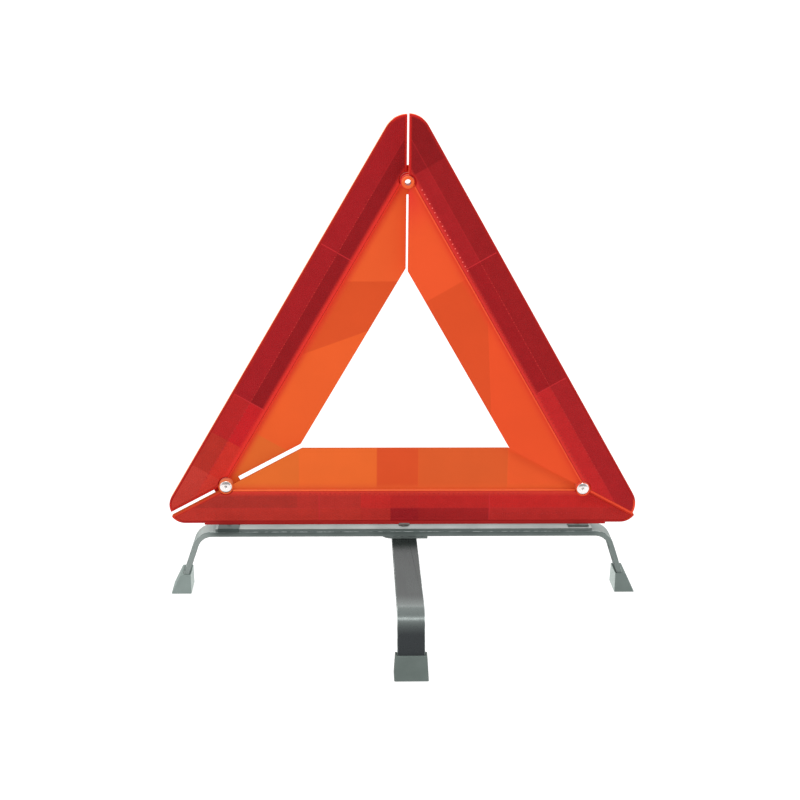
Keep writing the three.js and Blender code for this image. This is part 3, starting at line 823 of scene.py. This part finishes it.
def steel(name, light, dark, grain, metallic, rough=(0.32, 0.5), tint=None):
    """Plated steel with long streaks, clouds of dull plating and a few bright specks."""
    finish = Finish(name, Metallic=metallic, Specular_IOR_Level=0.5)
    streak = finish.noise(scale=240, detail=4, stretch=grain)
    cloud = finish.noise(scale=30, detail=2)
    speck = finish.noise(scale=420, detail=2)
    colour = finish.mix(finish.step(cloud, 0.2, 0.9), srgb(*light), srgb(*dark))
    streaks = finish.math("MULTIPLY", finish.step(streak, 0.45, 0.75), 0.45)
    colour = finish.mix(streaks, colour, srgb(*dark))
    specks = finish.math("MULTIPLY", finish.step(speck, 0.64, 0.74), 0.4)
    colour = finish.mix(specks, colour, srgb(*light))
    if tint:
        colour = tint(finish, colour)
    finish.colour(colour)
    finish.roughness(streak, *rough)
    finish.bump(streak, strength=0.15, distance=0.08)
    return finish.material


def painted_light_on_ends(finish, colour):
    """Painted light on the long strip's lower edge, bends and legs, strongest on the left."""
    low = finish.below(finish.along((0, 0, 1)), *LOWER_EDGE)
    colour = finish.mix(finish.math("MULTIPLY", low, 0.75), colour, srgb(*LOWER_EDGE_LIT_TONE))
    left = finish.step(finish.along((-1, 0, 0)), *LONG_ENDS)
    right = finish.step(finish.along((1, 0, 0)), *LONG_ENDS)
    colour = finish.mix(left, colour, srgb(*LEFT_END_LIT_TONE))
    return finish.mix(right, colour, srgb(*RIGHT_END_LIT_TONE))


def painted_shade_on_sides(finish, colour):
    """Painted shade on the upright sides of the channel."""
    side = finish.below(finish.facing("Z"), *UPRIGHT)
    return finish.mix(finish.math("MULTIPLY", side, 0.85), colour, srgb(*CHANNEL_SHADED_SIDE_TONE))


def painted_light_bends_shade_legs(finish, colour):
    """Painted light on the bends of the cross strip, and painted shade on its legs."""
    away = finish.math("ABSOLUTE", finish.along((0, 1, 0)))
    pale = finish.math("MULTIPLY", finish.step(away, *CROSS_BENDS), 0.8)
    colour = finish.mix(pale, colour, srgb(*CROSS_BEND_LIT_TONE))
    leg = finish.below(finish.along((0, 0, 1)), *CROSS_LEGS)
    return finish.mix(leg, colour, srgb(*CROSS_LEG_SHADED_TONE))


def worn_and_highlit_steel():
    """Rounded edges, worn bright in places, with painted highlight along them."""
    finish = Finish("worn steel edge", Metallic=0.7)
    wear = finish.noise(scale=150, detail=4)
    dull, bright = WORN_AND_HIGHLIT_TONES
    finish.colour(finish.mix(finish.step(wear, 0.4, 0.62), srgb(*dull), srgb(*bright)))
    finish.roughness(wear, low=0.3, high=0.45)
    return finish.material


def bright_metal():
    finish = Finish("nickel", Metallic=0.95)
    grain = finish.noise(scale=700, detail=3)
    dark, light = NICKEL_TONES
    finish.colour(finish.mix(grain, srgb(*dark), srgb(*light)))
    finish.roughness(grain, low=0.12, high=0.26)
    return finish.material


def rubber(name, light, dark, lit_side=0):
    """Grey rubber; the side that faces the given way on X takes painted light."""
    finish = Finish(name, Specular_IOR_Level=0.25)
    grain = finish.noise(scale=1100, detail=3)
    cloud = finish.noise(scale=60, detail=3)
    colour = finish.mix(cloud, srgb(*dark), srgb(*light))
    grains = finish.math("MULTIPLY", finish.step(grain, 0.55, 0.7), 0.25)
    colour = finish.mix(grains, colour, srgb(*light))
    if lit_side:
        facing = finish.math("MULTIPLY", finish.facing("X"), lit_side)
        colour = finish.mix(finish.step(facing, *LIT_SIDE_FACING), colour, srgb(*FOOT_LIT_SIDE_TONE))
    finish.colour(colour)
    finish.roughness(grain, low=0.6, high=0.85)
    finish.bump(grain, strength=0.3, distance=0.12)
    return finish.material


STEEL_X = steel(
    "zinc steel along X", (120, 132, 129), (88, 98, 96), ALONG_X,
    metallic=0.45, tint=painted_light_on_ends,
)
# painted shade: the same zinc steel as the long strip, darkened for the triangle's shadow over the
# cross strip
STEEL_Y_SHADED = steel(
    "zinc steel along Y", (36, 42, 40), (26, 30, 29), ALONG_Y,
    metallic=0.35, rough=(0.2, 0.36), tint=painted_light_bends_shade_legs,
)
# painted light: the channel's pale tone shows its top lit, and its upright sides take painted
# shade
STEEL_RAIL = steel(
    "zinc steel of the channel", (170, 177, 174), (132, 140, 137), ALONG_X,
    metallic=0.6, tint=painted_shade_on_sides,
)
DARK = steel(
    "dark steel", (78, 92, 88), (56, 66, 64), SHORT_X,
    metallic=0.3, rough=(0.4, 0.55),
)
PIN = steel(
    "dark pin", (96, 92, 88), (62, 60, 58), EVEN,
    metallic=0.9, rough=(0.12, 0.3),
)
WORN_AND_HIGHLIT = worn_and_highlit_steel()
NICKEL = bright_metal()
NYLON = plain(
    "nylon washer", (224, 222, 214), (206, 204, 196),
    gloss=0.4, scale=500, rough=(0.45, 0.6),
)
# the feet share one rubber; their tones differ by painted light and shade, palest on the left and
# darkest in front
RUBBER = {
    "left": rubber("left foot rubber", (144, 156, 152), (123, 135, 131), lit_side=1),
    "right": rubber("right foot rubber", (119, 130, 126), (100, 111, 107), lit_side=-1),
    "front": rubber("front foot rubber", (106, 116, 112), (86, 96, 92)),
    "rear": rubber("rear foot rubber", (120, 131, 127), (100, 111, 107)),
}


# ---------- hardware ----------
def shaped_copy(node, name, body, slot, bevel, *materials):
    """The CAD node's form with rounded edges; a second material goes on the rounded edges."""
    obj = solid(cad_bmesh(node), name, *materials)
    smooth(obj)
    rounded(obj, bevel, edge_slot=len(materials) - 1)
    piece_of(obj, body, node)
    return obj


def turned(profile, place, axis):
    """Mesh in millimetres, turned about the axis from a closed line of (radius, height) points."""
    bm = bmesh.new()
    axis = Vector(axis)
    side = axis.orthogonal().normalized()
    other = axis.cross(side)
    rings = []
    for step in range(TURNED_SIDES):
        angle = 2 * math.pi * step / TURNED_SIDES
        spoke = side * math.cos(angle) + other * math.sin(angle)
        rings.append([bm.verts.new(Vector(place) + spoke * r + axis * h) for r, h in profile])
    count = len(profile)
    for ring, after in zip(rings, rings[1:] + rings[:1]):
        for i in range(count):
            j = (i + 1) % count
            bm.faces.new((ring[i], ring[j], after[j], after[i]))
    bmesh.ops.remove_doubles(bm, verts=bm.verts, dist=TINY)
    bmesh.ops.dissolve_degenerate(bm, edges=bm.edges, dist=TINY)
    bmesh.ops.recalc_face_normals(bm, faces=bm.faces)
    return bm


def crown(radius, height, bulge):
    """Points of a rivet head's dome, from its rim to its dimple."""
    points = []
    start, end = RIVET_CROWN, RIVET_DIMPLE / radius
    for step in range(RIVET_CROWN_STEPS + 1):
        share = start + (end - start) * step / RIVET_CROWN_STEPS
        points.append((radius * share, height + bulge * math.sqrt(1 - share * share)))
    return points


def pivot_rivet(side):
    """Tubular rivet with a domed head on each end and a dimple where it was set."""
    node = f"{side}_pivot_rivet"
    low, high = box_mm(node)
    radius = (high.x - low.x) / 2
    half = (high.y - low.y) / 2
    under = half - RIVET_HEAD
    lip_in, lip_up = RIVET_LIP
    front = [(RIVET_SHAFT, under), (radius - lip_in, under), (radius, under + lip_up)]
    front += crown(radius, under, RIVET_HEAD)
    front += [(RIVET_BORE, half - depth) for depth in RIVET_WELL]
    rear = [(r, -h) for r, h in reversed(front)]
    bm = turned(front + rear, (low + high) / 2, (0, 1, 0))
    obj = solid(bm, f"{side}_rivet", NICKEL)
    smooth(obj, RIVET_SHARP)
    piece_of(obj, "stand", node)
    return obj


def foot(side, body):
    """Rubber foot with soft edges, a recessed sole and cross ribs in the recess."""
    node = f"{side}_foot"
    bm = cad_bmesh(node)
    undersides = [face for face in bm.faces if face.normal.z < -FLAT]
    sole = min(undersides, key=lambda face: face.calc_center_median().z)
    bmesh.ops.inset_region(bm, faces=[sole], thickness=SOLE_BORDER, use_even_offset=True)
    bmesh.ops.translate(bm, verts=sole.verts, vec=(0, 0, SOLE_RECESS))
    middle = sole.calc_center_median()
    across, wide = Vector((1, 0, 0)), Vector((0, 1, 0))
    if body != "stand":
        across, wide = wide, across
    thick, length, height = SOLE_RIB
    for index in range(-SOLE_RIBS, SOLE_RIBS + 1):
        for vert in bmesh.ops.create_cube(bm, size=1)["verts"]:
            x, y, z = vert.co
            vert.co = middle + across * (x * thick + index * SOLE_RIB_PITCH)
            vert.co += wide * y * length + Vector((0, 0, z * height - height / 4))
    bmesh.ops.recalc_face_normals(bm, faces=bm.faces)
    obj = solid(bm, f"{side}_rubber_foot", RUBBER[side])
    smooth(obj)
    rounded(obj, FOOT_BEVEL)
    piece_of(obj, body, node)


def stand_screw(side):
    """Pan-head screw with a rolled thread and a round recess in its head."""
    node = f"{side}_stand_screw"
    low, high = box_mm(node)
    middle = (low + high) / 2
    radius = (high.x - low.x) / 2
    shank = radius / 2
    head_top = low.z + SCREW_HEAD
    profile = [(0, high.z), (shank - SCREW_TIP, high.z)]
    z = high.z - SCREW_TIP
    while z > head_top + SCREW_NECK:
        profile += [(shank, z), (shank - THREAD_DEPTH, z - THREAD_PITCH / 2)]
        z -= THREAD_PITCH
    profile += [(shank, head_top), (radius, head_top)]
    profile += [(radius - inwards, low.z + height) for inwards, height in SCREW_CROWN]
    profile.append((0, low.z))
    bm = turned(profile, (middle.x, middle.y, 0), (0, 0, 1))

    def caps():
        lowest = low.z + THIN
        return [f for f in bm.faces if f.normal.z < -FLAT and f.calc_center_median().z < lowest]

    bmesh.ops.dissolve_faces(bm, faces=caps())
    face = caps()[0]
    border, depth = SCREW_RECESS
    bmesh.ops.inset_region(bm, faces=[face], thickness=border, use_even_offset=True)
    bmesh.ops.translate(bm, verts=face.verts, vec=(0, 0, depth))
    obj = solid(bm, f"{side}_screw", NICKEL)
    smooth(obj)
    piece_of(obj, "stand", node)
    return obj


# ---------- the pieces ----------
lens_material = {name: lens_red(arm) for name, arm in arms.items()}
for arm in arms.values():
    arm_frame(arm)
    for side in ("front", "rear"):
        lens(arm, side)

shaped_copy("long_leg_strip", "long_leg_bar", "stand", "zinc_steel", STRIP_BEVEL, STEEL_X, WORN_AND_HIGHLIT)
cross_bar = shaped_copy(
    "cross_leg_strip", "cross_leg_bar", "cross_leg", "zinc_steel", STRIP_BEVEL, STEEL_Y_SHADED, WORN_AND_HIGHLIT,
)
shaped_copy("stand_rail", "stand_channel", "stand", "zinc_steel", CHANNEL_BEVEL, STEEL_RAIL, WORN_AND_HIGHLIT)
shaped_copy("detent_plate", "detent_disc", "stand", "zinc_steel", PLATE_BEVEL, STEEL_X, WORN_AND_HIGHLIT)
nickel_pieces = []
for side in ("left", "right"):
    shaped_copy(f"{side}_rail_clip", f"{side}_clip", "stand", "dark_steel", CLIP_BEVEL, DARK)
    nickel_pieces.append(stand_screw(side))
    foot(side, "stand")
    nickel_pieces.append(pivot_rivet(side))
    shaped_copy(f"{side}_pivot_washer", f"{side}_washer", "stand", "nylon", WASHER_BEVEL, NYLON)
for side in ("front", "rear"):
    foot(side, "cross_leg")
shaped_copy("centre_rivet", "centre_pin", "stand", "dark_steel", PIN_BEVEL, PIN)
nickel_pieces.append(
    shaped_copy("friction_washer", "swivel_washer", "stand", "nickel", WASHER_BEVEL, NICKEL)
)
shaped_copy("apex_snap_stud", "apex_stud", "right_arm", "fluorescent_orange", STUD_BEVEL, STUD)


# ---------- stage, light and camera ----------
FLOOR_HALF = 60
FLOOR_DROP = 0.0003          # keeps the soles clear of the floor
FLOOR_WHITE = 0.25
FLOOR_GLOW = 0.9
# Ramps of the studio tent over the direction: from, to, value there.
SKY_HEIGHT = (-0.15, 0.75, 0.5, 1.5)     # brightness, from the horizon to overhead
SKY_DEPTH = (-0.7, 0.5, 0.45, 1.0)       # share of it, from the front to the back
SKY_SIDES = (0.35, 0.95, 0.0, 0.9)       # brightness added towards the sides
SKY_HORIZON = (-0.2, 0.05, 0.12, 1.0)    # share of all of it, from below to above the horizon
# Place, target, size and power of each softbox.
LIGHTS = {
    "key": ((-1.2, -1.2, 2.6), (0, 0, 0.25), (1.2, 1.2), 10),
    "strip": ((0.0, -1.6, 2.2), (0, -0.2, 0.05), (1.6, 0.1), 8),
    "bend strip": ((0.0, -1.6, 2.2), (0, -0.2, 0.05), (1.6, 0.1), 14),
    "back": ((0.2, 2.2, 2.0), (0, 0, 0.2), (2.0, 1.2), 8),
    "low card": ((0.0, -0.6, 0.001), (0, -0.6, 1.0), (2.4, 2.4), 22),
}


def stage_floor():
    """Pale floor that fades into the tent."""
    bm = bmesh.new()
    bmesh.ops.create_grid(bm, x_segments=1, y_segments=1, size=FLOOR_HALF)
    mesh = bpy.data.meshes.new("floor")
    bm.to_mesh(mesh)
    bm.free()
    obj = linked("floor", mesh)
    obj.location.z = -FLOOR_DROP
    finish = Finish("pale floor", Roughness=0.9, Specular_IOR_Level=0.0)
    finish.colour((FLOOR_WHITE, FLOOR_WHITE, FLOOR_WHITE, 1))
    finish.shader.inputs["Emission Color"].default_value = WHITE
    finish.shader.inputs["Emission Strength"].default_value = FLOOR_GLOW
    mesh.materials.append(finish.material)
    obj.visible_glossy = False


def sky():
    """Studio tent: bright overhead, at the sides and behind, dim in front and below."""
    world = bpy.data.worlds.new("studio")
    scene.world = world
    world.use_nodes = True
    nodes, links = world.node_tree.nodes, world.node_tree.links
    coordinate = nodes.new("ShaderNodeTexCoord")
    split = nodes.new("ShaderNodeSeparateXYZ")
    links.new(coordinate.outputs["Generated"], split.inputs[0])

    def ramp(value, low, high, out_low, out_high):
        node = nodes.new("ShaderNodeMapRange")
        node.interpolation_type = "SMOOTHSTEP"
        node.inputs["From Min"].default_value = low
        node.inputs["From Max"].default_value = high
        node.inputs["To Min"].default_value = out_low
        node.inputs["To Max"].default_value = out_high
        links.new(value, node.inputs["Value"])
        return node.outputs["Result"]

    def combine(operation, *values):
        node = nodes.new("ShaderNodeMath")
        node.operation = operation
        for value, socket in zip(values, node.inputs):
            links.new(value, socket)
        return node.outputs[0]

    sideways = combine("ABSOLUTE", split.outputs["X"])
    height = ramp(split.outputs["Z"], *SKY_HEIGHT)
    front = ramp(split.outputs["Y"], *SKY_DEPTH)
    sides = ramp(sideways, *SKY_SIDES)
    above = ramp(split.outputs["Z"], *SKY_HORIZON)
    light = combine("ADD", combine("MULTIPLY", height, front), sides)
    light = combine("MULTIPLY", light, above)
    path = nodes.new("ShaderNodeLightPath")
    shown = combine("MAXIMUM", light, path.outputs["Is Camera Ray"])
    links.new(shown, nodes["Background"].inputs["Strength"])
    nodes["Background"].inputs["Color"].default_value = WHITE


def softbox(name, place, target, size, power):
    light = bpy.data.lights.new(name, "AREA")
    light.shape = "RECTANGLE"
    light.size, light.size_y = size
    light.energy = power
    obj = linked(name, light)
    obj.location = place
    obj.rotation_euler = (Vector(target) - Vector(place)).to_track_quat("-Z", "Y").to_euler()
    return obj


def light_only(light, name, objects):
    """Lets a light reach these objects alone, and hides it from the camera."""
    group = bpy.data.collections.new(name)
    for obj in objects:
        group.objects.link(obj)
    light.light_linking.receiver_collection = group
    light.visible_camera = False


def camera():
    data = bpy.data.cameras.new("camera")
    data.sensor_width = CAMERA_SENSOR
    data.lens = CAMERA_LENS
    data.clip_end = CAMERA_REACH
    obj = linked("camera", data)
    turn = Matrix.Rotation(-CAMERA_YAW, 4, "Z")
    tilt = Matrix.Rotation(math.pi / 2 - CAMERA_PITCH, 4, "X")
    roll = Matrix.Rotation(CAMERA_ROLL, 4, "Z")
    obj.matrix_world = Matrix.Translation(CAMERA_PLACE) @ turn @ tilt @ roll
    scene.camera = obj


stage_floor()
sky()
lights = {name: softbox(name, *values) for name, values in LIGHTS.items()}
light_only(lights["bend strip"], "cross strip", [cross_bar])
light_only(lights["low card"], "bright pieces", nickel_pieces)
camera()
scene.view_settings.view_transform = "Standard"
